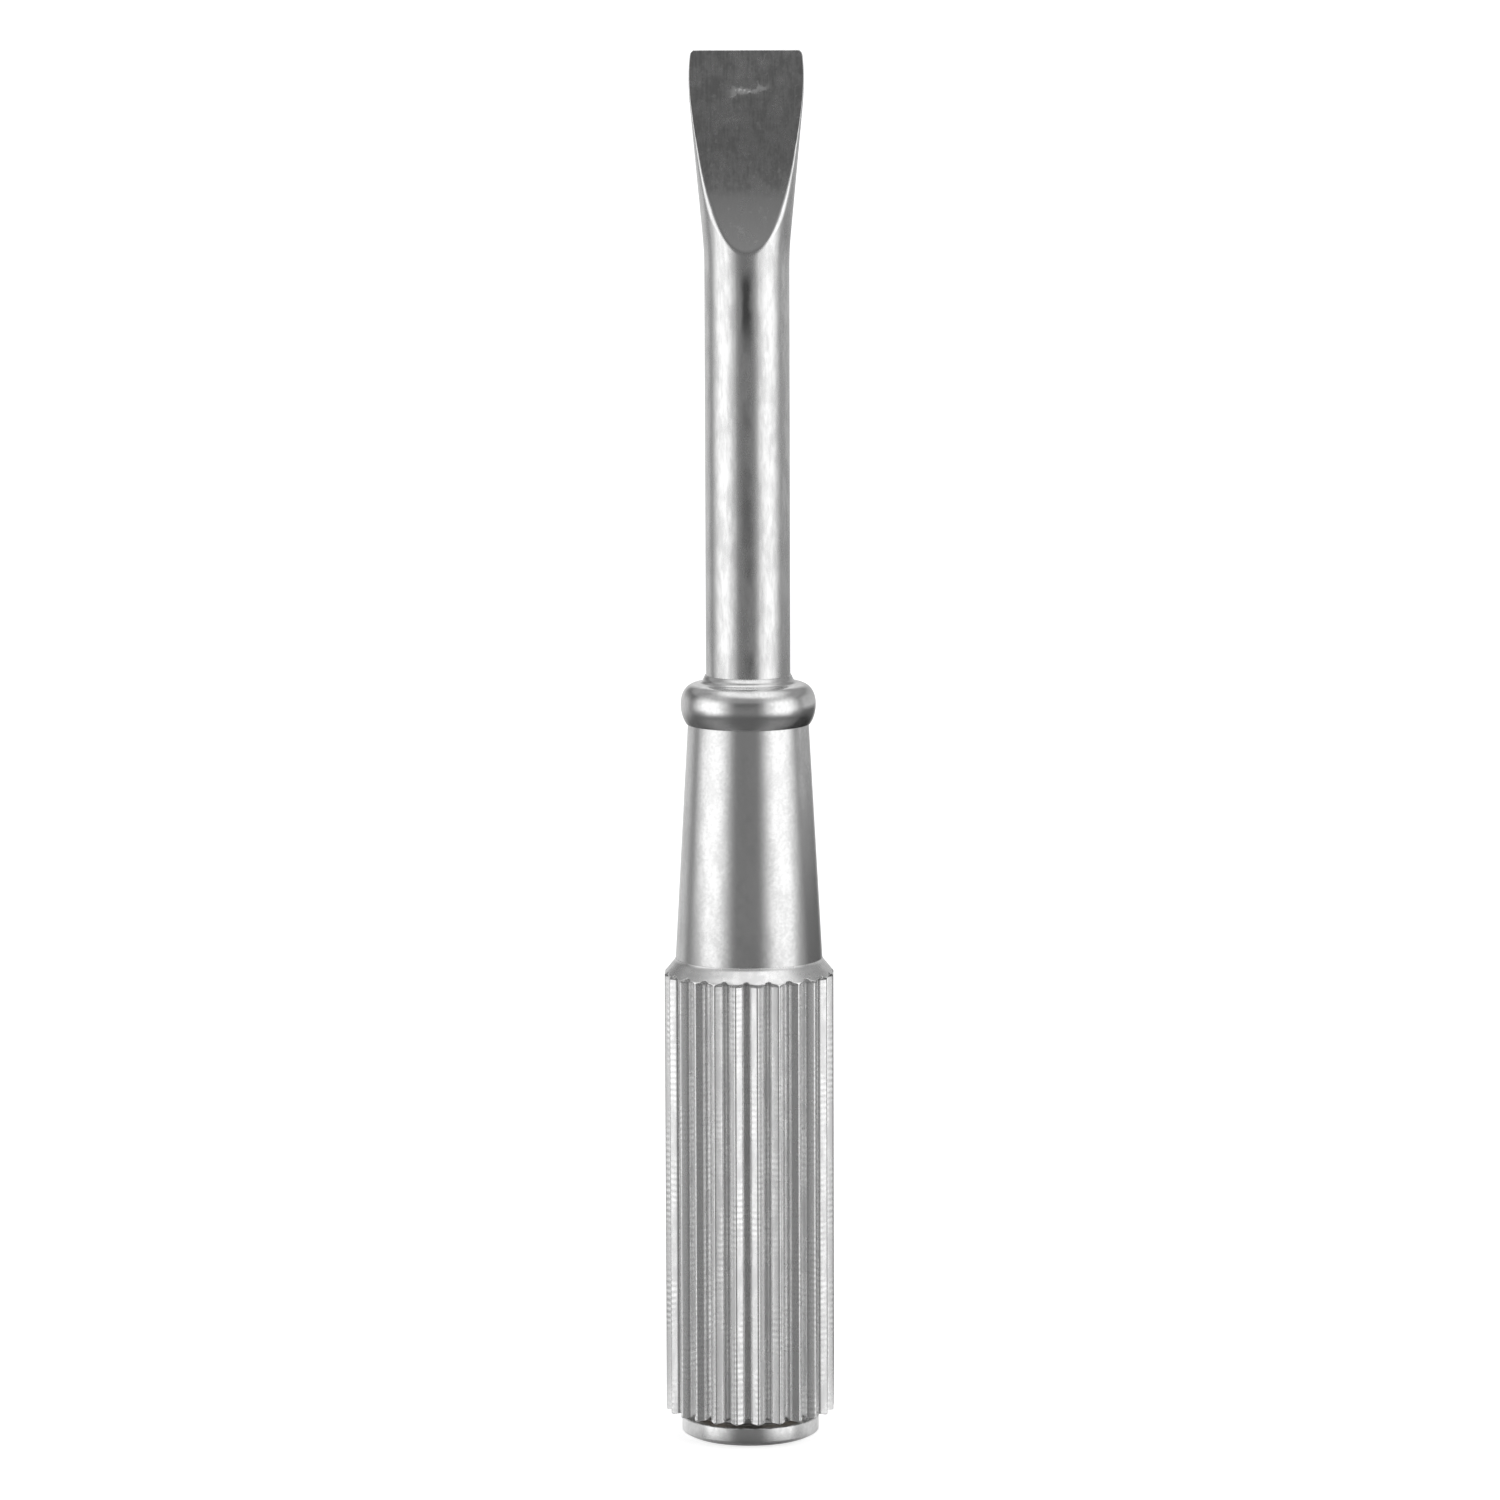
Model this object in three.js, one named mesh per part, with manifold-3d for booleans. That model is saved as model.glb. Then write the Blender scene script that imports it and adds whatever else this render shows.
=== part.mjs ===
// A round metal spudger with a ground flat pry blade, a fluted grip and a swivelling end cap.
// Lengths are in millimetres. +Z is up, the tool stands on its end cap at z = 0, and its blade is wide along X.
import * as THREE from 'three';
import { mergeVertices } from 'three/addons/utils/BufferGeometryUtils.js';
import Module from 'manifold-3d';

// Driving dimensions
const LENGTH = 82.5;
const GRIP_RADIUS = 5.05;
const SHANK_RADIUS = 2.5;
const FLUTES = 24;
const PRESS_GAP = 0.02; // radial gap left between pressed pieces, so that their faces never cross
const RUN_GAP = 0.06; // radial running clearance of the swivel stem

// Heights along the tool
const CAP_TOP = 1.13;
const GRIP_BOTTOM = 1.5;
const FLUTE_TOP = 28.1;
const GRIP_TOP = 28.85;
const NECK_TOP = 42.88;
const BEAD_MIDDLE = 44.0;
const BEAD_TOP = 45.75;
const FACET_START = 70.75;

// Blade
const TIP_HALF_THICKNESS = 0.3;
const GRIND_POWER = 2.25; // how quickly the hollow grind thins the blade towards the tip
const FLARE_END = 79.0;
const FLARE_SPREAD = 0.78; // how far each side has spread out by FLARE_END
const BLADE_WIDEST = 80.9;
const BLADE_HALF_WIDTH = 3.38;
const TIP_HALF_WIDTH = 3.26;
const TIP_CORNER = 0.25;
const SHANK_BOTTOM = 21.0;

// Neck, bead and grip
const NECK_BOTTOM_RADIUS = 4.36;
const NECK_TOP_RADIUS = 3.58;
const NECK_EDGE = 0.06; // break on the neck's upper edge
const SPIGOT_RADIUS = 3.3;
const SPIGOT_BOTTOM = 19.5;
const BEAD_CENTRE_RADIUS = 2.95;
const BEAD_BULGE = 1.05;
const BEAD_RISE = 1.28; // half-height of the bead's upper half
const BEAD_FALL = 1.575; // half-height of its fuller lower half, which the neck's top cuts off
const LIP_RADIUS = 2.6;
const LIP_EDGE = 45.62; // height where the lip on the bead starts to close on the shank
const LIP_GAP = 0.04; // how much further out than its bore the lip ends
const FLANK_DEPTH = 0.5; // how deep the straight flanks of a flute go
const SLOT_DEPTH = 0.3; // how much deeper the narrow slot at the bottom of a flute goes
const SHOULDER_RADIUS = 4.37;
const SHOULDER_DROP = 0.75; // height of the taper from the ridges in to the shoulder
const SHOULDER_LAND = 0.13; // height of the narrow band between that taper and the neck

// Swivel
const CAP_RADIUS = 4.1;
const STEM_RADIUS = 1.25;
const STEM_TOP = 10.6;
const BUSHING_TOP = 9.0;
const GROOVE_BOTTOM = 9.2;
const GROOVE_TOP = 9.8;
const GROOVE_RADIUS = 0.95;
const CLIP_RADIUS = 2.1;
const CLIP_OPENING = Math.PI / 3;
const WASHER_RADIUS = 2.95;
const END_PLAY = 0.04; // axial gap on each side of the washer and the clip

const AROUND = 48; // segments round every turned piece, so that nested faces line up
const POINTS_PER_FLUTE = 6;

const STEEL = { color: 0x7d7e80, roughness: 0.32, metalness: 1.0 };
const PLATED = { color: 0xb9babb, roughness: 0.22, metalness: 1.0 };
const SATIN = { color: 0xa9aaac, roughness: 0.35, metalness: 1.0 };
const BRASS = { color: 0xb59a55, roughness: 0.35, metalness: 1.0 };
const SPRING = { color: 0x55575a, roughness: 0.45, metalness: 1.0 };

const manifold = await Module();
manifold.setup();

/** Copies a closed three.js geometry into a manifold solid. */
function toSolid(geometry) {
  const bare = geometry.clone();
  bare.deleteAttribute('normal');
  bare.deleteAttribute('uv');
  const welded = mergeVertices(bare, 1e-5);
  const mesh = new manifold.Mesh({
    numProp: 3,
    vertProperties: new Float32Array(welded.attributes.position.array),
    triVerts: new Uint32Array(welded.index.array),
  });
  mesh.merge();
  return new manifold.Manifold(mesh);
}

/** Copies a manifold solid back into a three.js geometry. */
function toGeometry(solid) {
  const mesh = solid.getMesh();
  const geometry = new THREE.BufferGeometry();
  geometry.setAttribute('position', new THREE.BufferAttribute(new Float32Array(mesh.vertProperties), 3));
  geometry.setIndex(new THREE.BufferAttribute(new Uint32Array(mesh.triVerts), 1));
  geometry.computeVertexNormals();
  return geometry;
}

function named(name, geometry, finish) {
  const mesh = new THREE.Mesh(geometry, new THREE.MeshStandardMaterial(finish));
  mesh.name = name;
  return mesh;
}

/** Turns a closed outline of [radius, height] points about +Z. Points run anticlockwise from the inside. */
function turned(outline) {
  const points = outline.map(([radius, height]) => new THREE.Vector2(radius, height));
  const geometry = new THREE.LatheGeometry(points, AROUND);
  return geometry.rotateX(Math.PI / 2);
}

/** Points on an ellipse centred at (radius, height), from angle start to angle end, both included. */
function ellipseArc(radius, height, acrossR, acrossZ, start, end, steps) {
  return Array.from({ length: steps + 1 }, (_, i) => {
    const angle = start + ((end - start) * i) / steps;
    return [radius + acrossR * Math.cos(angle), height + acrossZ * Math.sin(angle)];
  });
}

/** Half the blade's width: the round shank, a straight flare, its widest part, then the rounded corner. */
function halfWidth(z) {
  if (z <= FACET_START) return SHANK_RADIUS;
  if (z <= FLARE_END) {
    const along = (z - FACET_START) / (FLARE_END - FACET_START);
    return SHANK_RADIUS + FLARE_SPREAD * along;
  }
  if (z <= BLADE_WIDEST) {
    const short = (BLADE_WIDEST - z) / (BLADE_WIDEST - FLARE_END);
    return BLADE_HALF_WIDTH - (BLADE_HALF_WIDTH - SHANK_RADIUS - FLARE_SPREAD) * short ** 2;
  }
  const past = (z - BLADE_WIDEST) / (LENGTH - BLADE_WIDEST);
  const side = BLADE_HALF_WIDTH - (BLADE_HALF_WIDTH - TIP_HALF_WIDTH) * past ** 2;
  const intoCorner = Math.max(0, z - (LENGTH - TIP_CORNER));
  return side - TIP_CORNER + Math.sqrt(TIP_CORNER ** 2 - Math.min(intoCorner, TIP_CORNER) ** 2);
}

/** Half the blade's thickness between its two ground faces. */
function halfThickness(z) {
  const up = (LENGTH - z) / (LENGTH - FACET_START);
  return TIP_HALF_THICKNESS + (SHANK_RADIUS - TIP_HALF_THICKNESS) * up ** GRIND_POWER;
}

/** The round bar with its upper end spread sideways, before the faces are ground. */
function spreadBar() {
  const chamfer = 0.3;
  const flareSteps = 8;
  const flare = Array.from({ length: flareSteps + 1 }, (_, i) => (
    FACET_START + ((FLARE_END - FACET_START) * i) / flareSteps
  ));
  const cornerStart = LENGTH - TIP_CORNER;
  const shoulder = [(FLARE_END + BLADE_WIDEST) / 2, BLADE_WIDEST, (BLADE_WIDEST + cornerStart) / 2, cornerStart];
  const corner = [0.5, 0.85, 1].map((share) => cornerStart + TIP_CORNER * share);
  const heights = [...flare, ...shoulder, ...corner];
  const bar = turned([
    [0, SHANK_BOTTOM],
    [SHANK_RADIUS - chamfer, SHANK_BOTTOM],
    [SHANK_RADIUS, SHANK_BOTTOM + chamfer],
    ...heights.map((z) => [SHANK_RADIUS, z]),
    [0, LENGTH],
  ]);
  const position = bar.attributes.position;
  for (let i = 0; i < position.count; i += 1) {
    position.setX(i, (position.getX(i) * halfWidth(position.getZ(i))) / SHANK_RADIUS);
  }
  return bar;
}

/** The space that the grinding leaves, as a slab seen from the side: full below, thinning to the tip. */
function grindSlab() {
  const wide = 2 * SHANK_RADIUS;
  const steps = 14;
  const front = [];
  for (let i = 0; i <= steps; i += 1) {
    const z = FACET_START + ((LENGTH - FACET_START) * i) / steps;
    front.push(new THREE.Vector2(halfThickness(z), z));
  }
  front[steps].y = LENGTH + 1;
  const back = front.map((point) => new THREE.Vector2(-point.x, point.y)).reverse();
  const below = SHANK_BOTTOM - 1;
  const shape = new THREE.Shape([
    new THREE.Vector2(-wide, below),
    new THREE.Vector2(wide, below),
    new THREE.Vector2(wide, FACET_START),
    ...front,
    ...back,
    new THREE.Vector2(-wide, FACET_START),
  ]);
  const slab = new THREE.ExtrudeGeometry(shape, { depth: 4 * wide, bevelEnabled: false });
  slab.translate(0, 0, -2 * wide);
  slab.rotateX(Math.PI / 2);
  return slab.rotateZ(Math.PI / 2);
}

function bladeShank() {
  const solid = toSolid(spreadBar()).intersect(toSolid(grindSlab()));
  return named('blade_shank', toGeometry(solid), STEEL);
}

/** The bulging ring on the neck, with a low lip on top of it that closes on the shank. */
function collarBead() {
  const bore = SHANK_RADIUS + PRESS_GAP;
  const cutOff = -Math.asin((BEAD_MIDDLE - NECK_TOP) / BEAD_FALL);
  const below = ellipseArc(BEAD_CENTRE_RADIUS, BEAD_MIDDLE, BEAD_BULGE, BEAD_FALL, cutOff, 0, 6);
  const above = ellipseArc(BEAD_CENTRE_RADIUS, BEAD_MIDDLE, BEAD_BULGE, BEAD_RISE, 0, Math.PI / 2, 7);
  const lip = [[LIP_RADIUS, BEAD_MIDDLE + BEAD_RISE], [LIP_RADIUS, LIP_EDGE], [bore + LIP_GAP, BEAD_TOP]];
  return named('collar_bead', turned([
    [bore, NECK_TOP],
    ...below,
    ...above.slice(1),
    ...lip,
    [bore, BEAD_TOP],
    [bore, NECK_TOP],
  ]), PLATED);
}

/** The tapered neck, with a bore for the shank and a spigot that goes down into the grip. */
function neckFerrule() {
  const bore = SHANK_RADIUS + PRESS_GAP;
  const spigot = SPIGOT_RADIUS - PRESS_GAP;
  const floor = SHANK_BOTTOM - 0.2;
  const chamfer = 0.3;
  return named('neck_ferrule', turned([
    [0, SPIGOT_BOTTOM],
    [spigot - chamfer, SPIGOT_BOTTOM],
    [spigot, SPIGOT_BOTTOM + chamfer],
    [spigot, GRIP_TOP + PRESS_GAP],
    [NECK_BOTTOM_RADIUS, GRIP_TOP + PRESS_GAP],
    [NECK_TOP_RADIUS, NECK_TOP - NECK_EDGE],
    [NECK_TOP_RADIUS - NECK_EDGE, NECK_TOP - PRESS_GAP],
    [bore, NECK_TOP - PRESS_GAP],
    [bore, floor],
    [0, floor],
  ]), PLATED);
}

/** Radius of the grip at an angle from the middle of a ridge: straight flanks down to a narrow slot. */
function fluteRadius(angle) {
  const fromRidge = Math.acos(Math.cos(FLUTES * angle)) / Math.PI; // 0 on a ridge, 1 in a groove
  const slotStart = 0.7;
  const intoSlot = Math.max(fromRidge - slotStart, 0) / (1 - slotStart);
  return GRIP_RADIUS - FLANK_DEPTH * fromRidge - SLOT_DEPTH * intoSlot;
}

function flutedBar() {
  const count = FLUTES * POINTS_PER_FLUTE;
  const points = Array.from({ length: count }, (_, i) => {
    const angle = (2 * Math.PI * i) / count;
    // a groove, not a ridge, faces the front of the tool
    const radius = fluteRadius(angle + Math.PI / 2 + Math.PI / FLUTES);
    return new THREE.Vector2(radius * Math.cos(angle), radius * Math.sin(angle));
  });
  const depth = FLUTE_TOP - GRIP_BOTTOM;
  return new THREE.ExtrudeGeometry(new THREE.Shape(points), { depth, bevelEnabled: false })
    .translate(0, 0, GRIP_BOTTOM);
}

/** The turned blank of the grip above the flutes. */
function gripShoulder() {
  const runOut = 0.3; // height over which the flutes run out to the ridges
  const insideFlutes = GRIP_RADIUS - FLANK_DEPTH - SLOT_DEPTH - 0.1;
  return turned([
    [0, FLUTE_TOP - runOut],
    [insideFlutes, FLUTE_TOP - runOut],
    [GRIP_RADIUS, FLUTE_TOP],
    [GRIP_RADIUS, GRIP_TOP],
    [0, GRIP_TOP],
  ]);
}

/** The turned outline that the grip stays inside: a broken lower edge, and a taper up to the neck. */
function gripEnvelope() {
  const edge = 0.15;
  const clear = GRIP_RADIUS + 0.01; // just outside the ridges, which keep their own radius
  const landBottom = GRIP_TOP - SHOULDER_LAND;
  return turned([
    [0, GRIP_BOTTOM],
    [GRIP_RADIUS - edge, GRIP_BOTTOM],
    [clear, GRIP_BOTTOM + edge],
    [clear, landBottom - SHOULDER_DROP],
    [SHOULDER_RADIUS, landBottom],
    [SHOULDER_RADIUS, GRIP_TOP],
    [0, GRIP_TOP],
  ]);
}

function gripSleeve() {
  const past = 1; // how far the bore's cutter reaches past each end
  const bore = turned([
    [0, GRIP_BOTTOM - past],
    [SPIGOT_RADIUS, GRIP_BOTTOM - past],
    [SPIGOT_RADIUS, GRIP_TOP + past],
    [0, GRIP_TOP + past],
  ]);
  const solid = toSolid(flutedBar())
    .add(toSolid(gripShoulder()))
    .intersect(toSolid(gripEnvelope()))
    .subtract(toSolid(bore));
  return named('grip_sleeve', toGeometry(solid), SATIN);
}

/** The plain bearing pressed into the grip's lower end, which the cap's stem turns in. */
function endBushing() {
  const outer = SPIGOT_RADIUS - PRESS_GAP;
  const bore = STEM_RADIUS + RUN_GAP;
  return named('end_bushing', turned([
    [bore, GRIP_BOTTOM],
    [outer, GRIP_BOTTOM],
    [outer, BUSHING_TOP],
    [bore, BUSHING_TOP],
    [bore, GRIP_BOTTOM],
  ]), BRASS);
}

/** The thin washer that keeps the cap off the grip. */
function thrustWasher() {
  const bore = STEM_RADIUS + RUN_GAP;
  const bottom = CAP_TOP + END_PLAY;
  const top = GRIP_BOTTOM - END_PLAY;
  return named('thrust_washer', turned([
    [bore, bottom],
    [WASHER_RADIUS, bottom],
    [WASHER_RADIUS, top],
    [bore, top],
    [bore, bottom],
  ]), SPRING);
}

/** The swivelling cap: a bevelled disc on a stem with a groove for the clip. */
function endCap() {
  const lowerBevel = 0.4;
  const lowerBevelHeight = 0.2;
  const upperBevel = 0.12;
  const lead = 0.2;
  return named('end_cap', turned([
    [0, 0],
    [CAP_RADIUS - lowerBevel, 0],
    [CAP_RADIUS, lowerBevelHeight],
    [CAP_RADIUS, CAP_TOP - upperBevel],
    [CAP_RADIUS - upperBevel, CAP_TOP],
    [STEM_RADIUS, CAP_TOP],
    [STEM_RADIUS, GROOVE_BOTTOM],
    [GROOVE_RADIUS, GROOVE_BOTTOM],
    [GROOVE_RADIUS, GROOVE_TOP],
    [STEM_RADIUS, GROOVE_TOP],
    [STEM_RADIUS, STEM_TOP - lead],
    [STEM_RADIUS - lead, STEM_TOP],
    [0, STEM_TOP],
  ]), PLATED);
}

/** The open spring ring that holds the cap's stem above the bushing. */
function stemClip() {
  const inner = GROOVE_RADIUS + PRESS_GAP;
  const start = CLIP_OPENING / 2;
  const end = 2 * Math.PI - start;
  const shape = new THREE.Shape();
  shape.absarc(0, 0, CLIP_RADIUS, start, end, false);
  shape.absarc(0, 0, inner, end, start, true);
  shape.closePath();
  const depth = GROOVE_TOP - GROOVE_BOTTOM - 2 * END_PLAY;
  const clip = new THREE.ExtrudeGeometry(shape, { depth, bevelEnabled: false, curveSegments: 24 });
  return named('stem_clip', clip.translate(0, 0, GROOVE_BOTTOM + END_PLAY), SPRING);
}

const tool = new THREE.Group();
tool.name = 'spudger';
tool.add(
  bladeShank(),
  collarBead(),
  neckFerrule(),
  gripSleeve(),
  endBushing(),
  thrustWasher(),
  endCap(),
  stemClip(),
);

export default tool;
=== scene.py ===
"""Visual model of the metal spudger: fine turned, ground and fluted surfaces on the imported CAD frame."""

import math

import bmesh
import bpy
from mathutils import Matrix, Vector


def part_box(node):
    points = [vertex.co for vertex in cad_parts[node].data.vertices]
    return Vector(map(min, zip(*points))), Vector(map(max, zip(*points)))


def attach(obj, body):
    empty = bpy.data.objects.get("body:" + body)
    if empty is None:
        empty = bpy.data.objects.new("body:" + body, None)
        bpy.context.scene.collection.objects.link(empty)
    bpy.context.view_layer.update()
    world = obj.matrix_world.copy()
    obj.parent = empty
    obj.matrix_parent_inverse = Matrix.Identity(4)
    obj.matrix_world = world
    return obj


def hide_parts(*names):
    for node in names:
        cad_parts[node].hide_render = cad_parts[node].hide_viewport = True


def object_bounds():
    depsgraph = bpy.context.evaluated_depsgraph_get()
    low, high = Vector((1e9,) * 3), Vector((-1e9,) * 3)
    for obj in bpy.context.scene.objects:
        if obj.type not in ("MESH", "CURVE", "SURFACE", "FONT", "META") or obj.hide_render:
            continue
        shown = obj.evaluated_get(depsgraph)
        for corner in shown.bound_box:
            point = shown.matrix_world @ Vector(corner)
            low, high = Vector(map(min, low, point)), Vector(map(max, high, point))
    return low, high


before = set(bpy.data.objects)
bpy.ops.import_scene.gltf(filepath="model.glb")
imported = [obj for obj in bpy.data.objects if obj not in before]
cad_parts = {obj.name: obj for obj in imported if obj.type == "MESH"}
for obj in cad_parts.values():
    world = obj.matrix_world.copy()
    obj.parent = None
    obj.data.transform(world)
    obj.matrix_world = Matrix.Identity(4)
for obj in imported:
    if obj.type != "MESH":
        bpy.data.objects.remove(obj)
cad_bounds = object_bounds()

MM = 0.001  # the shapes below are worked out in millimetres and made in metres
MICRON = 1e-6


def top_of(node):
    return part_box(node)[1].z / MM


def bottom_of(node):
    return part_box(node)[0].z / MM


def radius_of(node):
    """Half the wider side of a CAD node across the tool, in millimetres."""
    low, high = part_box(node)
    return max(high.x - low.x, high.y - low.y) / 2 / MM


# Shape, in millimetres. The main heights and radii come from the CAD nodes.
LENGTH = top_of("blade_shank")
SHANK_RADIUS = (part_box("blade_shank")[1].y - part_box("blade_shank")[0].y) / 2 / MM
SHANK_BOTTOM = bottom_of("blade_shank")
FACET_START = 70.75
FLARE_END = 79.0
FLARE_SPREAD = 0.78
FLARE_EASE = 0.12  # share of the flare's length over which it eases out of the round bar
BLADE_WIDEST = 80.9
BLADE_HALF_WIDTH = 3.38
TIP_HALF_WIDTH = 3.26
TIP_CORNER = 0.3
TIP_HALF_THICKNESS = 0.3
RUB_HEIGHT = 80.25  # pale rub marks on the ground face
GRIND_POWER = 2.25
FACET_SOFTNESS = 0.28  # reach of the rounding between a ground face and the round bar

BEAD_TOP = top_of("collar_bead")
BEAD_MIDDLE = 44.0
BEAD_RISE = 1.27  # half-height of the bead's upper half
BEAD_FULLNESS = 2.25  # 2 would make the upper half an ellipse
BEAD_FALL = 1.575  # half-height of its fuller lower half, which the neck cuts off
BEAD_BULGE = 1.05
BEAD_CENTRE_RADIUS = radius_of("collar_bead") - BEAD_BULGE
LIP_FOOT = (2.76, 45.31)  # where the bead's side turns up into its lip
LIP_WIDTH = 0.04

PRESS_GAP = 0.02  # radial gap between pressed pieces
SEAT_GAP = 0.004  # gap between faces that rest on each other

NECK_TOP = top_of("neck_ferrule")
NECK_TOP_RADIUS = 3.58
NECK_BOTTOM_RADIUS = 4.36
SPIGOT_BOTTOM = bottom_of("neck_ferrule")
SOCKET_BOTTOM = 20.8  # the neck's bore ends just below the shank's tang

GRIP_BOTTOM = bottom_of("grip_sleeve")
GRIP_TOP = top_of("grip_sleeve")
GRIP_RADIUS = 5.05
GRIP_BORE = 3.3
FLUTES = 24
HALF_PITCH = math.pi * GRIP_RADIUS / FLUTES  # from the crest of a ridge to the middle of a flute
FLANK_TILT = math.radians(37.5)
CREST_RADIUS = 0.1
SLOT_HALF_WIDTH = 0.197
SLOT_DEPTH = 0.3
FLUTE_TURN = math.radians(-1.9)  # the groove nearest the front sits this far round from it
GROOVE_LIFT = 0.3  # a groove's low end stands this far above the ends of the ridges
RUN_OUT_START = 27.8  # height where the flutes start to run out
RUN_OUT_RADIUS = 0.075
GRIP_EDGE = 0.12  # break on the grip's low edge
SHOULDER_RADIUS = 4.37
SHOULDER_FOOT = 27.95
SHOULDER_HEAD = 28.78
LAND_SLOPE = 0.09  # how much the land above the shoulder's taper draws in

CAP_TOP = 1.13
CAP_RADIUS = radius_of("end_cap")
CAP_BEVEL_WIDTH = 0.4
CAP_BEVEL_HEIGHT = 0.22
CAP_EDGE = 0.05
STEM_TOP = top_of("end_cap")
STEM_RADIUS = 1.25
GROOVE_RADIUS = 0.95  # the clip's groove in the stem
GROOVE_BOTTOM = 9.2
GROOVE_TOP = 9.8

AROUND = 192  # points round a turned piece
FILLET_STEPS = 6


# Mesh helpers


def fillet(points, radius):
    """The corner in the middle of three [r, z] points, rounded with an arc of that radius."""
    before, corner, after = (Vector(p) for p in points)
    to_before, to_after = (before - corner).normalized(), (after - corner).normalized()
    half = to_before.angle(to_after) / 2
    longest = 0.45 * min((before - corner).length, (after - corner).length)
    reach = min(radius / math.tan(half), longest)
    radius = reach * math.tan(half)
    centre = corner + (to_before + to_after).normalized() * radius / math.sin(half)
    start, end = corner + to_before * reach - centre, corner + to_after * reach - centre
    turn = start.angle_signed(end)
    turns = (-turn * i / FILLET_STEPS for i in range(FILLET_STEPS + 1))
    return [tuple(centre + Matrix.Rotation(part, 2) @ start) for part in turns]


def rounded(outline, radii):
    """An outline of [r, z] points with the corners named in radii, by their place, filleted."""
    points = []
    for i, point in enumerate(outline):
        if i in radii:
            points += fillet((outline[i - 1], point, outline[(i + 1) % len(outline)]), radii[i])
        else:
            points.append(tuple(point))
    return points


def finish_piece(name, mesh, body, node, slot, *materials):
    """Puts a mesh in the scene as a piece that rides on a body and stands for a CAD node."""
    piece = bpy.data.objects.new(name, mesh)
    bpy.context.scene.collection.objects.link(piece)
    for material in materials:
        mesh.materials.append(material)
    mesh.shade_smooth()
    weighted = piece.modifiers.new("weighted normals", "WEIGHTED_NORMAL")
    weighted.weight = 100
    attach(piece, body)
    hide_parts(node)
    return piece


def rings_to_mesh(name, rings):
    """A mesh from rings of [x, y, z] points in millimetres. A ring of one point closes an end."""
    made = bmesh.new()
    loops = [[made.verts.new(Vector(point) * MM) for point in ring] for ring in rings]
    for low, high in zip(loops, loops[1:]):
        count = max(len(low), len(high))
        for i in range(count):
            j = (i + 1) % count
            if len(low) == 1:
                made.faces.new((low[0], high[j], high[i]))
            elif len(high) == 1:
                made.faces.new((low[i], low[j], high[0]))
            else:
                made.faces.new((low[i], low[j], high[j], high[i]))
    mesh = bpy.data.meshes.new(name)
    bmesh.ops.recalc_face_normals(made, faces=made.faces)
    made.to_mesh(mesh)
    made.free()
    return mesh


def turned(name, outline):
    """A solid of revolution. Its outline of [r, z] points ends on the axis or at its own first point."""
    rings = []
    for r, z in outline:
        if r < 1e-6:
            rings.append([(0.0, 0.0, z)])
            continue
        angles = (2 * math.pi * i / AROUND for i in range(AROUND))
        rings.append([(r * math.cos(a), r * math.sin(a), z) for a in angles])
    mesh = rings_to_mesh(name, rings)
    closed = tuple(outline[0]) == tuple(outline[-1])
    return welded(mesh) if closed else mesh


def welded(mesh):
    """Joins the first and last ring of a closed outline."""
    made = bmesh.new()
    made.from_mesh(mesh)
    bmesh.ops.remove_doubles(made, verts=made.verts, dist=MM * 1e-4)
    bmesh.ops.recalc_face_normals(made, faces=made.faces)
    made.to_mesh(mesh)
    made.free()
    return mesh


def smoothstep(low, high, value):
    t = min(max((value - low) / (high - low), 0.0), 1.0)
    return t * t * (3 - 2 * t)


def spaced(stretches):
    """Evenly spaced values in stretches of (start, stop, steps), without the last stretch's stop."""
    values = []
    for start, stop, steps in stretches:
        values += [start + (stop - start) * i / steps for i in range(steps)]
    return values


def soft_min(a, b, width):
    """The smaller of two numbers, with the crossing rounded over that width."""
    share = max(width - abs(a - b), 0.0) / width
    return min(a, b) - share * share * width / 4


# Blade and shank


def half_width(z):
    """Half the blade's width: the round bar, a flare, a belly and a tip with rounded corners."""
    if z <= FLARE_END:
        along = (z - FACET_START) / (FLARE_END - FACET_START)
        return SHANK_RADIUS - FLARE_SPREAD * soft_min(-along, 0.0, FLARE_EASE)
    if z <= BLADE_WIDEST:
        short = (BLADE_WIDEST - z) / (BLADE_WIDEST - FLARE_END)
        return BLADE_HALF_WIDTH - (BLADE_HALF_WIDTH - SHANK_RADIUS - FLARE_SPREAD) * short**2
    past = (z - BLADE_WIDEST) / (LENGTH - BLADE_WIDEST)
    side = BLADE_HALF_WIDTH - (BLADE_HALF_WIDTH - TIP_HALF_WIDTH) * past**2
    into_corner = max(0.0, z - (LENGTH - TIP_CORNER))
    return side - TIP_CORNER + math.sqrt(max(TIP_CORNER**2 - into_corner**2, 0.0))


def half_thickness(z):
    """Half the thickness between the ground faces, carried on past the bar's radius below them."""
    up = (LENGTH - z) / (LENGTH - FACET_START)
    if up > 1:
        slope = GRIND_POWER * (SHANK_RADIUS - TIP_HALF_THICKNESS) / (LENGTH - FACET_START)
        return SHANK_RADIUS + slope * (FACET_START - z)
    return TIP_HALF_THICKNESS + (SHANK_RADIUS - TIP_HALF_THICKNESS) * max(up, 0.0) ** GRIND_POWER


def facet_border(thick):
    """The angle round the bar where a ground face starts, and how softly it does."""
    crisp = 0.7 * smoothstep(1.5, 2.3, thick)  # the border sharpens where the grind runs out on the bar
    soft = min(FACET_SOFTNESS, thick * 0.4) * (1 - crisp)
    steepest = math.radians(86)
    edge = min(math.asin(min(thick / SHANK_RADIUS, 1.0)), steepest)
    return edge, soft


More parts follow.
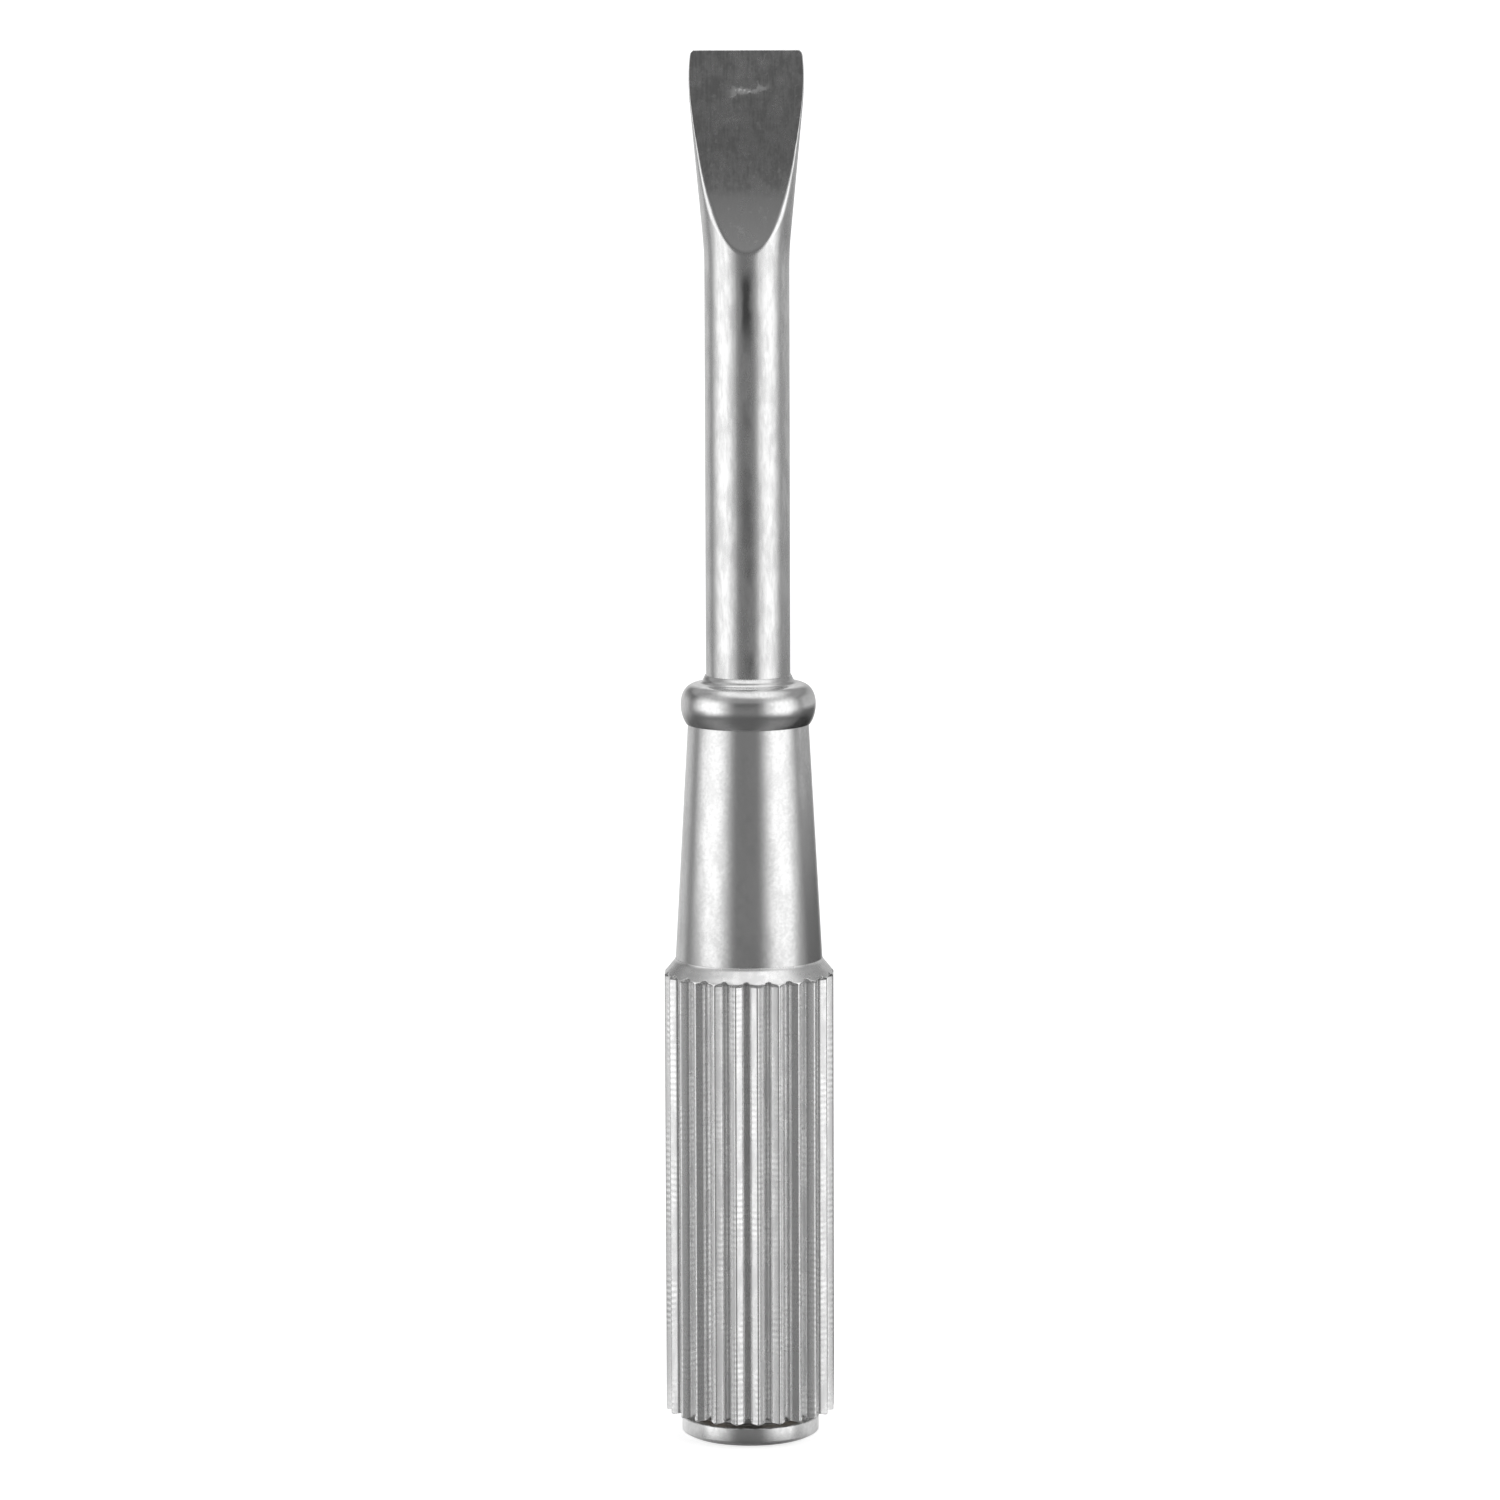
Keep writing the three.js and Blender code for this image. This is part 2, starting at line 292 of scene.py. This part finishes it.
def blade_section(z):
    """One ring round the blade at a height: rounded edge, soft border and ground face, four times over."""
    wide, thick = half_width(z), half_thickness(z)
    edge, soft = facet_border(thick)
    middle, reach = math.sin(edge), soft / SHANK_RADIUS
    steepest = math.sin(math.radians(88))
    low = math.asin(max(middle - reach, 0.1 * middle))
    high = math.asin(min(middle + reach, steepest))
    angles = spaced([(0.0, low, 16), (low, high, 20), (high, math.pi / 2, 14)]) + [math.pi / 2]
    points = []
    for angle in angles:
        points.append((wide * math.cos(angle), soft_min(SHANK_RADIUS * math.sin(angle), thick, soft)))
    right = points + [(-x, y) for x, y in reversed(points[:-1])]
    left = [(-x, -y) for x, y in right[1:-1]]
    return [(x, y, z) for x, y in right + left]


def on_ground_face(point):
    """Whether a point of the blade, in millimetres, is on one of its two ground faces."""
    tip_edge = LENGTH - 0.01
    if point.z < FACET_START or point.z > tip_edge:
        return False
    edge, soft = facet_border(half_thickness(point.z))
    return abs(point.x) < half_width(point.z) * math.cos(edge) - 0.2 * soft


def make_blade_shank(plate, ground):
    """The bar and its ground blade, from the tang's bevelled foot to the fine bevel round the tip."""
    foot_bevel, foot_share = 0.3, 0.88
    tip_bevel, tip_steps = 0.05, 4
    corner_steps = 8
    corner_start = LENGTH - TIP_CORNER
    blend_start = FACET_START - 1.2
    heights = [SHANK_BOTTOM]
    heights += spaced([(SHANK_BOTTOM + foot_bevel, blend_start, 60), (blend_start, corner_start, 170)])
    for i in range(corner_steps + 1):
        turn = math.pi / 2 * i / corner_steps
        heights.append(corner_start + (TIP_CORNER - tip_bevel) * math.sin(turn))
    rings = [blade_section(z) for z in heights]
    rings[0] = [(x * foot_share, y * foot_share, z) for x, y, z in rings[0]]
    rings.insert(0, [(0.0, 0.0, SHANK_BOTTOM)])
    end = rings[-1]
    for i in range(1, tip_steps + 1):
        turn = math.pi / 2 * i / tip_steps
        inset = tip_bevel * (1 - math.cos(turn))
        shrink_x, shrink_y = 1 - inset / TIP_HALF_WIDTH, 1 - inset / TIP_HALF_THICKNESS
        z = LENGTH - tip_bevel + tip_bevel * math.sin(turn)
        rings.append([(x * shrink_x, y * shrink_y, z) for x, y, _ in end])
    rings.append([(0.0, 0.0, LENGTH)])
    mesh = rings_to_mesh("blade_and_shank", rings)
    for face in mesh.polygons:
        face.material_index = int(on_ground_face(face.center / MM))
    return finish_piece("blade_and_shank", mesh, "handle", "blade_shank", "blade_steel", plate, ground)


# Bead, neck and cap


def quarter_bulge(height, fullness, start, stop, steps):
    """Points on the bead's side between two angles, on a rounder or squarer oval of that half-height."""
    points = []
    for i in range(steps + 1):
        angle = start + (stop - start) * i / steps
        out = abs(math.cos(angle)) ** (2 / fullness)
        up = math.copysign(abs(math.sin(angle)) ** (2 / fullness), angle)
        points.append((BEAD_CENTRE_RADIUS + BEAD_BULGE * out, BEAD_MIDDLE + height * up))
    return points


def make_bead(material):
    bore = SHANK_RADIUS + PRESS_GAP
    cut_off = -math.asin((BEAD_MIDDLE - NECK_TOP) / BEAD_FALL)
    below = quarter_bulge(BEAD_FALL, 2, cut_off, 0, 24)
    above = quarter_bulge(BEAD_RISE, BEAD_FULLNESS, 0, math.pi / 2, 36)[1:-5]  # the lip takes over there
    lip = rounded([above[-1], LIP_FOOT, (bore + LIP_WIDTH, BEAD_TOP), (bore, BEAD_TOP)], {1: 0.34})
    outline = [(bore, NECK_TOP), *below, *above[:-1], *lip, (bore, NECK_TOP)]
    return finish_piece("bead", turned("bead", outline), "handle", "collar_bead", "plated_steel", material)


def make_neck(material):
    bore = SHANK_RADIUS + PRESS_GAP
    spigot = GRIP_BORE - PRESS_GAP
    foot = GRIP_TOP + SEAT_GAP
    outline = rounded(
        [
            (0, SPIGOT_BOTTOM),
            (spigot, SPIGOT_BOTTOM),
            (spigot, foot),
            (NECK_BOTTOM_RADIUS, foot),
            (NECK_TOP_RADIUS, NECK_TOP),
            (bore, NECK_TOP),
            (bore, SOCKET_BOTTOM),
            (0, SOCKET_BOTTOM),
        ],
        {1: 0.3, 4: 0.05},
    )
    return finish_piece("neck", turned("neck", outline), "handle", "neck_ferrule", "plated_steel", material)


def make_cap(material):
    outline = rounded(
        [
            (0, 0),
            (CAP_RADIUS - CAP_BEVEL_WIDTH, 0),
            (CAP_RADIUS, CAP_BEVEL_HEIGHT),
            (CAP_RADIUS, CAP_TOP - CAP_EDGE),
            (CAP_RADIUS - CAP_EDGE, CAP_TOP),
            (STEM_RADIUS, CAP_TOP),
            (STEM_RADIUS, GROOVE_BOTTOM),
            (GROOVE_RADIUS, GROOVE_BOTTOM),
            (GROOVE_RADIUS, GROOVE_TOP),
            (STEM_RADIUS, GROOVE_TOP),
            (STEM_RADIUS, STEM_TOP),
            (0, STEM_TOP),
        ],
        {1: 0.15, 2: 0.15, 3: 0.03, 4: 0.03, 10: 0.2},
    )
    return finish_piece("butt_cap", turned("butt_cap", outline), "cap", "end_cap", "plated_steel", material)


# Fluted grip


def flute_cut(from_crest):
    """How deep a flute is at a distance from a ridge's crest: round crest, straight flank, slot."""
    reach = CREST_RADIUS * math.sin(FLANK_TILT)
    if from_crest < reach:
        return CREST_RADIUS - math.sqrt(CREST_RADIUS**2 - from_crest**2)
    cut = CREST_RADIUS * (1 - math.cos(FLANK_TILT)) + (from_crest - reach) * math.tan(FLANK_TILT)
    into_slot = max(from_crest - (HALF_PITCH - SLOT_HALF_WIDTH), 0.0) / SLOT_HALF_WIDTH
    return cut + SLOT_DEPTH * math.sqrt(1 - (1 - min(into_slot, 1.0)) ** 2)


def grip_radius(from_crest, z):
    """The fluted surface, whose flutes run out in short arches under the shoulder."""
    lift = max(z - RUN_OUT_START, 0.0) ** 2 / (2 * RUN_OUT_RADIUS)
    return GRIP_RADIUS - max(flute_cut(from_crest) - lift, 0.0)


def grip_envelope(z):
    """The turned outline that the flutes are cut into: edge break, cylinder, taper and a narrow land."""
    if z < GRIP_BOTTOM + GRIP_EDGE:
        into = (GRIP_BOTTOM + GRIP_EDGE - z) / GRIP_EDGE
        return GRIP_RADIUS - GRIP_EDGE * (1 - math.sqrt(max(1 - into**2, 0.0)))
    slope = (GRIP_RADIUS - SHOULDER_RADIUS) / (SHOULDER_HEAD - SHOULDER_FOOT)
    taper = GRIP_RADIUS - slope * (z - SHOULDER_FOOT)
    land = SHOULDER_RADIUS - LAND_SLOPE * (z - SHOULDER_HEAD)
    shoulder = -soft_min(-taper, -land, 0.1)
    return soft_min(GRIP_RADIUS, shoulder, 0.05)


def ridge_end(height, from_crest):
    """At the grip's low end each ridge reaches a little lower than the grooves beside it."""
    low = max(1 - (height - GRIP_BOTTOM) / (2 * GROOVE_LIFT), 0.0)
    depth = min(flute_cut(from_crest) / flute_cut(HALF_PITCH), 1.0)
    return height + low * GROOVE_LIFT * depth


def grip_heights():
    """Heights of the grip's rings, close together on its low edge, where the flutes run out and above."""
    edge_height, edge_steps = 0.16, 8
    straight_top = RUN_OUT_START - 0.5
    turns = (math.pi / 2 * i / edge_steps for i in range(edge_steps))
    edge = [GRIP_BOTTOM + edge_height * (1 - math.cos(turn)) for turn in turns]
    straight = (GRIP_BOTTOM + edge_height, straight_top, 24)
    return edge + spaced([straight, (straight_top, GRIP_TOP, 56)]) + [GRIP_TOP]


def flute_angles():
    """Angles round the grip, close together on crests and in slots, each with its distance from a crest."""
    slot = HALF_PITCH - SLOT_HALF_WIDTH
    over_crest = [0.0, 0.03, 0.06, 0.09, 0.13]
    down_flank = [slot / 2, slot * 3 / 4, slot - 0.02]
    into_slot = [slot + 0.01, slot + 0.05, slot + 0.11]
    steps = over_crest + down_flank + into_slot
    half = [(distance, distance) for distance in [*steps, HALF_PITCH]]
    back = [(2 * HALF_PITCH - distance, distance) for distance in reversed(steps[1:])]
    groove = -math.pi / 2 + FLUTE_TURN
    angles = []
    for flute in range(FLUTES):
        crest = groove + (2 * flute + 1) * math.pi / FLUTES
        angles += [(crest + along / GRIP_RADIUS, distance) for along, distance in half + back]
    return angles


def make_grip(material):
    edge_softness = 0.04
    angles = flute_angles()

    def bore_ring(z):
        return [(GRIP_BORE * math.cos(a), GRIP_BORE * math.sin(a), z) for a, _ in angles]

    rings = [bore_ring(GRIP_BOTTOM)]
    for z in grip_heights():
        envelope = grip_envelope(z)
        ring = []
        for angle, distance in angles:
            r = soft_min(grip_radius(distance, z), envelope, edge_softness)
            ring.append((r * math.cos(angle), r * math.sin(angle), ridge_end(z, distance)))
        rings.append(ring)
    rings += [bore_ring(GRIP_TOP), bore_ring(GRIP_BOTTOM)]
    mesh = welded(rings_to_mesh("fluted_grip", rings))
    return finish_piece("fluted_grip", mesh, "handle", "grip_sleeve", "grip_metal", material)


# Materials


class Nodes:
    """A short way to add and join shader nodes."""

    def __init__(self, tree, keep=False):
        self.tree = tree
        if not keep:
            tree.nodes.clear()

    def add(self, kind, inputs=None, **settings):
        node = self.tree.nodes.new(kind)
        for key, value in settings.items():
            setattr(node, key, value)
        for key, value in (inputs or {}).items():
            self.put(node, key, value)
        return node

    def put(self, node, key, value):
        if isinstance(value, bpy.types.NodeSocket):
            self.tree.links.new(value, node.inputs[key])
        else:
            node.inputs[key].default_value = value

    def maths(self, operation, a, b=0.0):
        return self.add("ShaderNodeMath", {0: a, 1: b}, operation=operation).outputs[0]

    def total(self, first, *others):
        for other in others:
            first = self.maths("ADD", first, other)
        return first

    def product(self, first, *others):
        for other in others:
            first = self.maths("MULTIPLY", first, other)
        return first

    def ramp(self, value, low, high, out_low=0.0, out_high=1.0):
        """A smooth step from out_low to out_high while the value goes from low to high."""
        limits = {"From Min": low, "From Max": high, "To Min": out_low, "To Max": out_high}
        node = self.add("ShaderNodeMapRange", {"Value": value, **limits}, interpolation_type="SMOOTHSTEP")
        return node.outputs["Result"]

    def noise(self, place, across, along, detail=4.0, rough=0.55):
        """Noise with that many cells to the metre across the tool and along it."""
        scaled = self.add("ShaderNodeMapping", {"Vector": place, "Scale": (across, across, along)})
        settings = {"Scale": 1.0, "Detail": detail, "Roughness": rough}
        node = self.add("ShaderNodeTexNoise", {"Vector": scaled.outputs["Vector"], **settings})
        return node.outputs["Fac"]

    def mix(self, share, a, b):
        node = self.add("ShaderNodeMix", data_type="RGBA")
        self.put(node, 0, share)
        self.put(node, 6, a)
        self.put(node, 7, b)
        return node.outputs[2]


def grey(value, warmth=0.0):
    return (value * (1 + warmth), value, value * (1 - warmth), 1.0)


def finish_metal(n, colour, rough, height, relief, diffuse=0.0):
    """The metal shader that every finish ends in. A height value of 1 stands relief metres high."""
    bump = n.add("ShaderNodeBump", {"Height": height, "Strength": 1.0, "Distance": relief})
    shader = n.add("ShaderNodeBsdfPrincipled", {
        "Base Color": colour,
        "Roughness": rough,
        "Metallic": 1.0 - diffuse,
        "Normal": bump.outputs["Normal"],
    })
    n.put(n.add("ShaderNodeOutputMaterial"), "Surface", shader.outputs[0])


def new_material(name):
    material = bpy.data.materials.new(name)
    material.use_nodes = True
    n = Nodes(material.node_tree)
    return material, n, n.add("ShaderNodeTexCoord").outputs["Object"]


def satin_plate(name, base, roughness, mottle=1.0, drawn=1.0):
    """Satin nickel plate: cloudy tone, a fine skin that can be drawn out along Z, waviness and nicks."""
    material, n, place = new_material(name)
    cloud = n.noise(place, 900.0, 420.0)
    skin = n.noise(place, 4400.0, 4400.0 / drawn, 3.0)
    wave = n.noise(place, 520.0, 150.0, 2.0, 0.5)
    nicks = n.ramp(n.noise(place, 1900.0, 1500.0, 1.0, 0.4), 0.72, 0.80)
    tone = n.total(n.product(cloud, 0.6), n.product(skin, 0.4))
    dull, bright = grey(base * (1 - 0.14 * mottle)), grey(min(base * 1.06, 0.97))
    colour = n.mix(n.ramp(tone, 0.36, 0.64), dull, bright)
    colour = n.mix(n.product(nicks, 0.3), colour, grey(base * 0.85))
    rough = n.ramp(tone, 0.35, 0.65, roughness + 0.04, roughness - 0.03)
    height = n.total(n.product(wave, 4.5 * mottle), n.product(skin, 0.08), n.product(nicks, -0.2))
    finish_metal(n, colour, rough, height, MICRON, 0.06)
    return material


def plate_with_painted_streak(name, base, roughness):
    """The shank's plate, drawn lengthways. A thin painted dark streak runs down its front below the blade,
    with faint painted mottling along the same line: painted shade that deepens the dark reflected band on
    the side facing the camera.
    """
    material = satin_plate(name, base, roughness, drawn=4.0)
    n = Nodes(material.node_tree, keep=True)
    place = n.add("ShaderNodeTexCoord").outputs["Object"]
    x, y, z = n.add("ShaderNodeSeparateXYZ", {0: place}).outputs
    ragged = n.maths("SUBTRACT", n.noise(place, 900.0, 500.0, 3.0, 0.6), 0.5)
    aside = n.maths("ABSOLUTE", n.total(x, n.product(ragged, 0.5 * MM)))
    thin = n.ramp(aside, 0.08 * MM, 0.42 * MM, 1.0, 0.0)
    foot = n.ramp(z, 64.0 * MM, 67.2 * MM)
    head = n.ramp(z, 70.3 * MM, 68.8 * MM)
    strong = n.product(n.product(foot, head), 0.8)
    faint = n.ramp(n.noise(place, 500.0, 330.0, 2.0, 0.5), 0.45, 0.65, 0.0, 0.35)
    front = n.ramp(y, 0.0, -1.0 * MM)
    # painted shade: a dark streak and faint mottle laid along the front's reflected dark band, not a stain
    # on the metal
    painted_streak = n.product(n.maths("MAXIMUM", strong, faint), thin, front)
    shader = next(node for node in n.tree.nodes if node.type == "BSDF_PRINCIPLED")
    clean = shader.inputs["Base Color"].links[0].from_socket
    n.put(shader, "Base Color", n.mix(painted_streak, clean, grey(0.10)))
    return material


def ground_steel(name):
    """Bare steel ground along the blade: faint lengthways marks, blotches and pale rub marks."""
    material, n, place = new_material(name)
    marks = n.noise(place, 6000.0, 500.0, 4.0, 0.6)
    blotch = n.noise(place, 1000.0, 800.0, 4.0, 0.65)
    dots = n.ramp(n.noise(place, 3000.0, 3000.0, 2.0, 0.5), 0.60, 0.72)
    x, _, z = n.add("ShaderNodeSeparateXYZ", {0: place}).outputs
    rub = rub_marks(n, x, z, blotch, dots)
    tone = n.total(n.product(marks, 0.3), n.product(blotch, 0.7))
    # painted light: the foot of the ground face gets an even, lighter colour that stands in for the
    # brighter reflection off its curved lower part
    painted_light_foot = n.ramp(z, 74.8 * MM, 73.8 * MM, 0.0, 0.75)
    colour = n.mix(n.ramp(tone, 0.38, 0.62), grey(0.37), grey(0.61))
    colour = n.mix(painted_light_foot, colour, grey(0.60))
    colour = n.mix(n.product(dots, 0.25), colour, grey(0.90))
    colour = n.mix(n.ramp(blotch, 0.62, 0.72, 0.0, 0.5), colour, grey(0.80))
    colour = n.mix(rub, colour, grey(0.95))
    rough = n.total(n.ramp(tone, 0.35, 0.65, 0.34, 0.26), n.product(rub, 0.22))
    height = n.total(n.product(marks, 0.7), n.product(blotch, 3.0), n.product(rub, 4.0))
    finish_metal(n, colour, rough, height, 1.2 * MICRON, 0.04)
    return material


def rub_marks(n, x, z, blotch, dots):
    """A short ragged streak across the ground face near the tip, broken up by dots."""
    ragged = n.product(n.maths("SUBTRACT", blotch, 0.5), 2.2 * MM)
    from_streak = n.maths("ABSOLUTE", n.maths("SUBTRACT", n.total(z, ragged), RUB_HEIGHT * MM))
    from_side = n.maths("ABSOLUTE", n.maths("SUBTRACT", x, 0.15 * MM))
    streak = n.ramp(from_streak, 0.08 * MM, 0.30 * MM, 1.0, 0.0)
    across = n.ramp(from_side, 0.8 * MM, 1.4 * MM, 1.0, 0.0)
    return n.product(streak, across, n.ramp(dots, 0.0, 0.3, 0.5, 1.0))


def turned_metal(name, base, roughness, pitch, ridge):
    """Satin metal with turning marks round Z. pitch and ridge are the marks' spacing and height."""
    material, n, place = new_material(name)
    z = n.add("ShaderNodeSeparateXYZ", {0: place}).outputs[2]
    patch = n.noise(place, 900.0, 260.0, 3.0)
    skin = n.noise(place, 2600.0, 900.0, 3.0, 0.5)
    drift = n.product(n.maths("SUBTRACT", patch, 0.5), 5.0)
    turns = n.maths("SINE", n.total(n.product(z, 2 * math.pi / pitch), drift))
    marks = n.product(turns, n.ramp(patch, 0.42, 0.62))
    tone = n.total(n.product(skin, 0.5), n.product(patch, 0.5))
    colour = n.mix(n.ramp(tone, 0.36, 0.64), grey(base * 0.90), grey(min(base * 1.04, 0.98)))
    # painted shade: the colour darkens slightly in the troughs of the turning marks
    colour = n.mix(n.ramp(marks, -1.0, 1.0, 0.93, 1.0), grey(base * 0.35), colour)
    rough = n.ramp(tone, 0.35, 0.65, roughness + 0.05, roughness - 0.04)
    height = n.total(n.product(marks, ridge / MICRON), n.product(skin, 0.05))
    finish_metal(n, colour, rough, height, MICRON, 0.10)
    return material


def plain_metal(name, base, roughness, warmth=0.0, diffuse=0.0):
    """The swivel's own small pieces: a cloudy tone over fine turning marks."""
    material, n, place = new_material(name)
    cloud = n.noise(place, 1400.0, 1400.0, 3.0, 0.5)
    marks = n.noise(place, 200.0, 9000.0, 3.0, 0.6)
    colour = n.mix(n.ramp(cloud, 0.35, 0.65), grey(base * 0.85, warmth), grey(base, warmth))
    rough = n.ramp(marks, 0.3, 0.7, roughness - 0.05, roughness + 0.05)
    finish_metal(n, colour, rough, marks, MICRON, diffuse)
    return material


# Studio. Azimuth is 0 in front of the tool and 90 to its right, and elevation is 0 when level, in degrees.
# A light's start and end are each a pair of angles: where it is still out and where it is fully on.


def between(n, angle, start, end):
    """1 from one end of a light to the other, with soft ends."""
    return n.product(n.ramp(angle, *start), n.ramp(angle, *end))


def side_boxes(n, azimuth, elevation):
    """Two tall soft boxes left and right of the tool, dimmer above and below and on their far low edge."""
    strength, glow_below, far_shade = 1.14, 0.13, 0.8
    left_above, right_above = 0.22, 0.40
    left = between(n, azimuth, (-20, -60), (-118, -78))
    right = between(n, azimuth, (14, 52), (110, 66))
    both = n.total(left, right)
    level = n.product(both, n.product(between(n, elevation, (-23, -9), (36, 12)), strength))
    upper = n.total(n.product(left, left_above), n.product(right, right_above))
    upper = n.product(upper, between(n, elevation, (10, 26), (74, 50)))
    far = n.ramp(n.maths("ABSOLUTE", azimuth), 70, 90, 0, far_shade)
    shaded = n.product(far, n.ramp(elevation, -7, -11.5))
    lower = n.product(both, n.ramp(elevation, -20, -34, 0, glow_below))
    return n.total(n.product(n.total(level, upper), n.maths("SUBTRACT", 1.0, shaded)), lower)


def overhead(n, x, elevation):
    """A big soft light above the tool that reaches lower on the right."""
    leaning = n.total(elevation, n.product(x, 6.0))
    return n.ramp(leaning, 46, 70, 0, 0.80)


def rear_lights(n, azimuth, elevation):
    """Light from behind the tool on both sides, brightest just below level."""
    left = n.total(n.ramp(azimuth, -108, -136, 0, 0.42), n.ramp(azimuth, -140, -176, 0, 0.20))
    right = n.ramp(azimuth, 148, 178, 0, 0.50)
    rising, falling = n.ramp(elevation, -28, -6, 0.05, 1), n.ramp(elevation, 22, 0, 0.15, 1)
    return n.product(n.total(left, right), rising, falling)


def dim_walls(n, azimuth, elevation):
    """Dim walls all round, a lit corner behind on the right and a lit strip above level behind."""
    low = n.ramp(elevation, -24, -10, 0.05, 0.15)
    dip = n.ramp(elevation, 0, 14, 0, 0.06)
    high = n.ramp(elevation, 22, 31, 0, 0.18)
    walls = n.total(n.maths("SUBTRACT", low, dip), high)
    corner = between(n, azimuth, (98, 112), (172, 150))
    corner = n.product(corner, n.ramp(elevation, -9, -4.5, -0.08, 0.33), n.ramp(elevation, 30, 14))
    behind = n.ramp(n.maths("ABSOLUTE", azimuth), 155, 176, 0, 0.6)
    strip = n.product(behind, n.ramp(elevation, 3, 22))
    return n.total(walls, corner, strip)


def make_world():
    """A soft studio that depends only on direction. The camera itself sees plain white paper."""
    world = bpy.data.worlds.new("studio")
    bpy.context.scene.world = world
    world.use_nodes = True
    n = Nodes(world.node_tree)
    direction = n.add("ShaderNodeTexCoord").outputs["Generated"]
    x, y, z = n.add("ShaderNodeSeparateXYZ", {0: direction}).outputs
    azimuth = n.maths("DEGREES", n.maths("ARCTAN2", x, n.product(y, -1.0)))
    elevation = n.maths("DEGREES", n.maths("ARCSINE", z))
    light = n.total(
        dim_walls(n, azimuth, elevation),
        side_boxes(n, azimuth, elevation),
        overhead(n, x, elevation),
        rear_lights(n, azimuth, elevation),
    )
    studio = n.add("ShaderNodeBackground", {"Color": grey(1.0), "Strength": light})
    paper = n.add("ShaderNodeBackground", {"Color": grey(1.0), "Strength": 0.99})
    seen = n.add("ShaderNodeLightPath").outputs["Is Camera Ray"]
    both = n.add("ShaderNodeMixShader", {0: seen, 1: studio.outputs[0], 2: paper.outputs[0]})
    n.put(n.add("ShaderNodeOutputWorld"), "Surface", both.outputs[0])


def make_floor():
    """A plain pale sheet under the tool. Metal mirrors only its near part, beside and behind the tool."""
    half_side = 4.0
    below = 0.01 * MM
    made = bmesh.new()
    bmesh.ops.create_grid(made, x_segments=2, y_segments=2, size=half_side)
    mesh = bpy.data.meshes.new("floor")
    made.to_mesh(mesh)
    made.free()
    floor = bpy.data.objects.new("floor", mesh)
    bpy.context.scene.collection.objects.link(floor)
    floor.location.z = cad_bounds[0].z - below
    material = bpy.data.materials.new("pale_floor")
    material.use_nodes = True
    n = Nodes(material.node_tree)
    diffuse = n.add("ShaderNodeBsdfDiffuse", {"Color": grey(0.9)})
    glow = n.add("ShaderNodeEmission", {"Color": grey(1.0), "Strength": 0.62})
    both = n.add("ShaderNodeAddShader", {0: diffuse.outputs[0], 1: glow.outputs[0]})
    place = n.add("ShaderNodeTexCoord").outputs["Object"]
    x, y, _ = n.add("ShaderNodeSeparateXYZ", {0: place}).outputs
    from_tool = n.maths("SQRT", n.total(n.maths("POWER", x, 2.0), n.maths("POWER", y, 2.0)))
    near = n.ramp(from_tool, 24 * MM, 8 * MM, 0, 0.55)
    near = n.product(near, n.ramp(y, -4.5 * MM, -1 * MM))
    mirrored = n.add("ShaderNodeLightPath").outputs["Is Glossy Ray"]
    clear = n.product(mirrored, n.maths("SUBTRACT", 1.0, near))
    through = n.add("ShaderNodeBsdfTransparent", {"Color": grey(1.0)})
    sheet = n.add("ShaderNodeMixShader", {0: clear, 1: both.outputs[0], 2: through.outputs[0]})
    n.put(n.add("ShaderNodeOutputMaterial"), "Surface", sheet.outputs[0])
    mesh.materials.append(material)


def make_camera():
    """A long lens that looks slightly down on the tool's middle, with a trace of roll."""
    elevation = math.radians(7.7)
    roll = math.radians(0.187)
    distance = 0.4084
    aside = 0.095 * MM
    data = bpy.data.cameras.new("camera")
    data.sensor_fit = "HORIZONTAL"
    data.sensor_width = 36.0
    data.lens = 165.6
    data.clip_start = 0.01
    camera = bpy.data.objects.new("camera", data)
    bpy.context.scene.collection.objects.link(camera)
    middle = Vector((aside, 0, (cad_bounds[0].z + cad_bounds[1].z) / 2))
    back = Vector((0, -math.cos(elevation), math.sin(elevation)))
    turn = (-back).to_track_quat("-Z", "Y").to_matrix() @ Matrix.Rotation(-roll, 3, "Z")
    camera.matrix_world = Matrix.Translation(middle + back * distance) @ turn.to_4x4()
    bpy.context.scene.camera = camera


def main():
    bpy.context.scene.view_settings.view_transform = "Standard"
    make_camera()
    make_world()
    make_floor()
    plate = plate_with_painted_streak("shank_plate", 0.84, 0.25)
    smooth_plate = satin_plate("neck_plate", 0.83, 0.20, mottle=0.6)
    ground = ground_steel("ground_steel")
    turned_grip = turned_metal("turned_grip", 0.96, 0.26, pitch=0.36 * MM, ridge=1.7 * MICRON)
    brass = plain_metal("bushing_brass", 0.55, 0.35, warmth=0.14)
    spring = plain_metal("spring_steel", 0.35, 0.40)
    washer = plain_metal("washer_steel", 0.60, 0.40, diffuse=0.3)
    make_blade_shank(plate, ground)
    make_bead(smooth_plate)
    make_neck(smooth_plate)
    make_grip(turned_grip)
    make_cap(smooth_plate)
    for node, material in (("end_bushing", brass), ("thrust_washer", washer), ("stem_clip", spring)):
        for material_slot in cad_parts[node].material_slots:
            material_slot.link = "OBJECT"
            material_slot.material = material


main()
